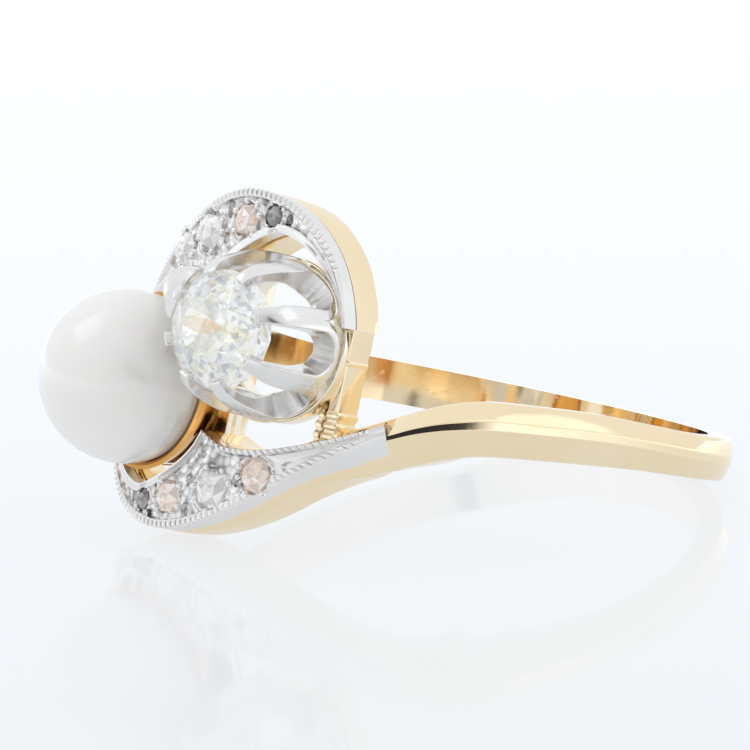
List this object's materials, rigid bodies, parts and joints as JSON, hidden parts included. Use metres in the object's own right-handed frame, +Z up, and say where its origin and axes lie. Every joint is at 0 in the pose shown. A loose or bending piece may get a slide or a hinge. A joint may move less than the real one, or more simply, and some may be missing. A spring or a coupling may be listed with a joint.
{
  "type": "toi et moi ring",
  "caption": "Crossover toi et moi ring in yellow gold and platinum: a pearl on a peg and an old cut diamond in claws, held between two swept shoulders with rose cut stones.",
  "frame": {"origin": "on the surface that the ring lies on, below the middle of its box", "axes": "+Z up from the surface; -Y towards the head with the gems, +Y towards the back of the band, +X across the finger hole towards the diamond"},
  "size_m": [0.0192, 0.0258, 0.0125],
  "materials": {
    "yellow_gold": "polished",
    "platinum": "polished",
    "pearl": "satin",
    "diamond": "polished",
    "rose_diamond": "polished"
  },
  "bodies": {
    "root": {"shank": "yellow_gold", "plate_lower": "platinum", "plate_upper": "platinum", "claw_setting": "platinum", "pearl": "pearl", "diamond": "diamond", "rose_lower_1": "rose_diamond", "rose_lower_2": "rose_diamond", "rose_lower_3": "rose_diamond", "rose_lower_4": "rose_diamond", "rose_upper_1": "rose_diamond", "rose_upper_2": "rose_diamond", "rose_upper_3": "rose_diamond", "rose_upper_4": "rose_diamond"}
  },
  "joints": []
}
